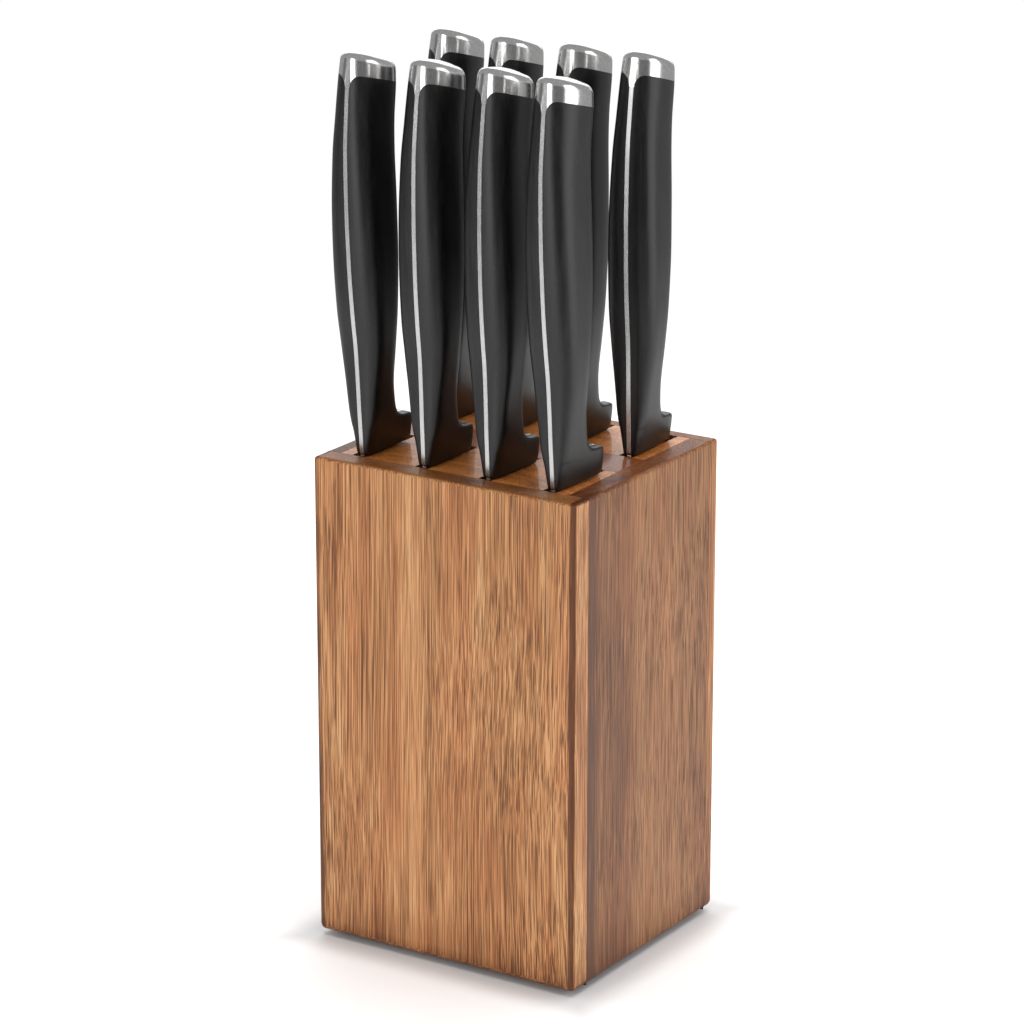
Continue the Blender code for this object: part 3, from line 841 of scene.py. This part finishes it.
# ---------------------------------------------------------------- studio
FLOOR_SIZE = 1.2
FLOOR_FADE = (0.45, 0.85)  # the floor fades to white between these distances from the block
FLAG_RADIUS = 0.50
FLAG_HEIGHT = 0.38
FLAG_SPANS = ((-64, -38), (14, 76))  # azimuths in degrees
FLAG_STEP = 2
FLAG_CLEARANCE = 0.001  # above the floor
FLAG_GREY = (0.15, 0.15, 0.15, 1.0)
WHITE = (1.0, 1.0, 1.0, 1.0)
FLOOR_GLOW = 0.30  # light that the floor gives off, so that only the shadow close to the block stays dark
GLOW_START = 0.002  # distances from the block where the glow starts and where it is full
GLOW_FULL = 0.014
WORLD_LIGHT = 0.37

# Area lights: name, azimuth, elevation, distance, size, radiance, and whether glossy surfaces mirror them.
SOFTBOXES = (
    ("softbox_front", -11, 4, 1.25, (0.70, 1.2), 2.5, True),
    ("softbox_right", 108, 8, 1.2, (0.95, 1.2), 1.9, True),
    ("softbox_left", -85, 10, 1.3, (0.5, 1.0), 0.8, False),
    ("softbox_back", -150, 20, 1.3, (1.2, 0.8), 1.2, True),
    ("softbox_top", 180, 78, 1.4, (1.6, 1.6), 2.0, False),
)


def add_floor():
    """A pale sweep round the block that fades into the white background."""
    material, tree, shader = new_material("studio_floor", Roughness=0.7, Specular_IOR_Level=0.2)
    speckle = stretched_noise(tree, place_in_mm(tree), (0.05, 0.05, 0.05), 3.0)
    tree.links.new(ramp(tree, speckle, [(0.3, 0.90), (0.7, 0.92)]), shader.inputs["Base Color"])
    place = node(tree, "TexCoord").outputs["Object"]
    far = node(tree, "VectorMath", {0: place}, operation="LENGTH").outputs["Value"]
    near, end = FLOOR_FADE
    fade = node(
        tree, "MapRange", {"Value": far, "From Min": near, "From Max": end, "To Min": 1.0, "To Max": 0.0},
        interpolation_type="SMOOTHSTEP",
    )
    tree.links.new(fade.outputs["Result"], shader.inputs["Alpha"])
    corner = tuple(block_box()[1])
    place = node(tree, "VectorMath", {0: place}, operation="ABSOLUTE").outputs[0]
    beyond = node(tree, "VectorMath", {0: place, 1: corner}, operation="SUBTRACT").outputs[0]
    beyond = node(tree, "SeparateXYZ", {"Vector": beyond})
    gap = maths(tree, "MAXIMUM", beyond.outputs["X"], beyond.outputs["Y"])
    glow = node(
        tree, "MapRange", {"Value": gap, "From Min": GLOW_START, "From Max": GLOW_FULL, "To Max": FLOOR_GLOW},
        interpolation_type="SMOOTHSTEP",
    )
    shader.inputs["Emission Color"].default_value = WHITE
    tree.links.new(glow.outputs["Result"], shader.inputs["Emission Strength"])
    bm = bmesh.new()
    bmesh.ops.create_grid(bm, x_segments=1, y_segments=1, size=FLOOR_SIZE)
    floor = bpy.data.objects.new("studio_floor", mesh_from(bm, "studio_floor", material))
    bpy.context.scene.collection.objects.link(floor)


def add_softbox(name, azimuth, elevation, distance, size, radiance, mirrored):
    """An area light that faces the block. Azimuth runs in degrees from the front (0) to the right (90)."""
    data = bpy.data.lights.new(name, "AREA")
    data.shape = "RECTANGLE"
    data.size, data.size_y = size
    data.energy = radiance * math.pi * size[0] * size[1]
    light = bpy.data.objects.new(name, data)
    azimuth, elevation = math.radians(azimuth), math.radians(elevation)
    level = math.cos(elevation)
    away = Vector((math.sin(azimuth) * level, -math.cos(azimuth) * level, math.sin(elevation)))
    light.location = CAMERA_TARGET + away * distance
    light.rotation_euler = away.to_track_quat("Z", "Y").to_euler()
    light.visible_glossy = mirrored
    bpy.context.scene.collection.objects.link(light)


def add_flags():
    """Curved grey cards that stand before the two front corners. Only glossy surfaces see them: they give the
    steel its dark bands."""
    material, _, _ = new_material("flag_grey", Base_Color=FLAG_GREY, Roughness=0.9)
    for number, (start, end) in enumerate(FLAG_SPANS, 1):
        bm = bmesh.new()
        rows = []
        for azimuth in range(start, end + 1, FLAG_STEP):
            turn = math.radians(azimuth)
            x, y = math.sin(turn) * FLAG_RADIUS, -math.cos(turn) * FLAG_RADIUS
            rows.append([bm.verts.new((x, y, z)) for z in (FLAG_CLEARANCE, FLAG_HEIGHT)])
        for first, second in zip(rows, rows[1:]):
            bm.faces.new((first[0], second[0], second[1], first[1]))
        flag = bpy.data.objects.new(f"flag_{number}", mesh_from(bm, f"flag_{number}", material))
        flag.visible_camera = flag.visible_diffuse = flag.visible_shadow = False
        bpy.context.scene.collection.objects.link(flag)


def add_world():
    """White where the camera sees it, and a soft grey light everywhere else."""
    world = bpy.data.worlds.new("studio")
    world.use_nodes = True
    tree = world.node_tree
    seen = node(tree, "LightPath").outputs["Is Camera Ray"]
    level = node(tree, "MapRange", {"Value": seen, "To Min": WORLD_LIGHT, "To Max": 1.0}).outputs["Result"]
    tree.links.new(level, tree.nodes["Background"].inputs["Strength"])
    tree.nodes["Background"].inputs["Color"].default_value = WHITE
    bpy.context.scene.world = world


def add_studio():
    bpy.context.scene.view_settings.view_transform = "Standard"
    add_world()
    add_floor()
    for softbox in SOFTBOXES:
        add_softbox(*softbox)
    add_flags()


add_camera()
add_block()
add_feet()
add_knives()
add_studio()
